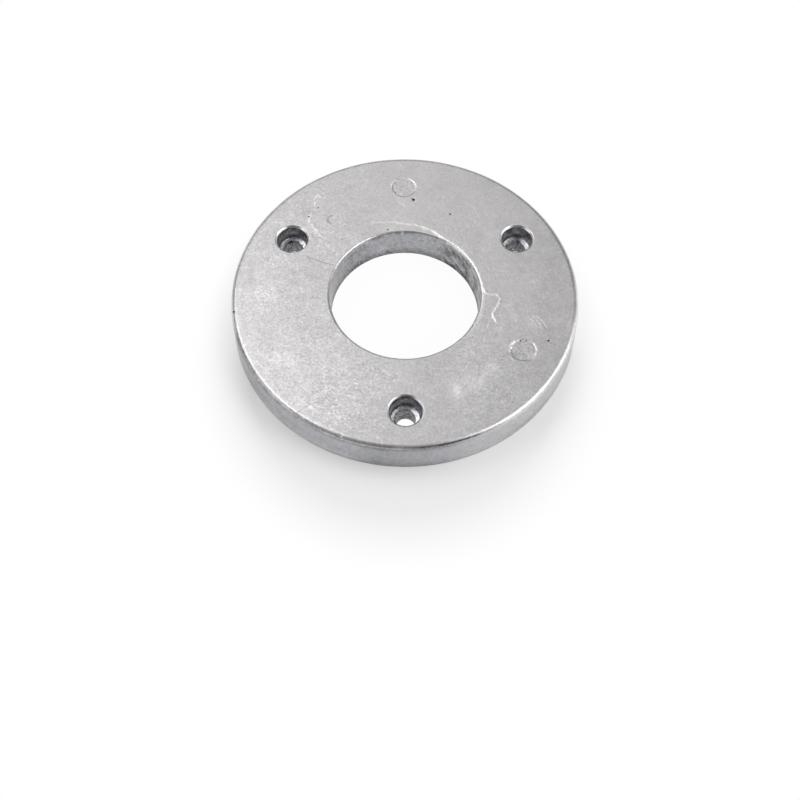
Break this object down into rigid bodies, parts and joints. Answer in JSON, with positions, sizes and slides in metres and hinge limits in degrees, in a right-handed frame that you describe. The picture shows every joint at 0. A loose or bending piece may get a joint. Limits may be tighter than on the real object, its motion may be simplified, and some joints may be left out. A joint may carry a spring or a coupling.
{
  "type": "sacrificial anode",
  "caption": "Flat ring anode, cast in one piece, with a straight central bore, a drafted outer wall with a rounded rim, and counterbored screw holes spaced evenly round it.",
  "frame": {"origin": "centre of the bore in the plane of the underside", "axes": "+Z along the bore's axis, towards the counterbored top face; a screw hole lies 30 degrees from +X towards +Y"},
  "size_m": [0.12, 0.12, 0.013],
  "materials": {
    "cast_metal": "as cast, satin, with fine mottling and rubbed patches"
  },
  "bodies": {
    "root": {"anode_ring": "cast_metal"}
  },
  "joints": []
}
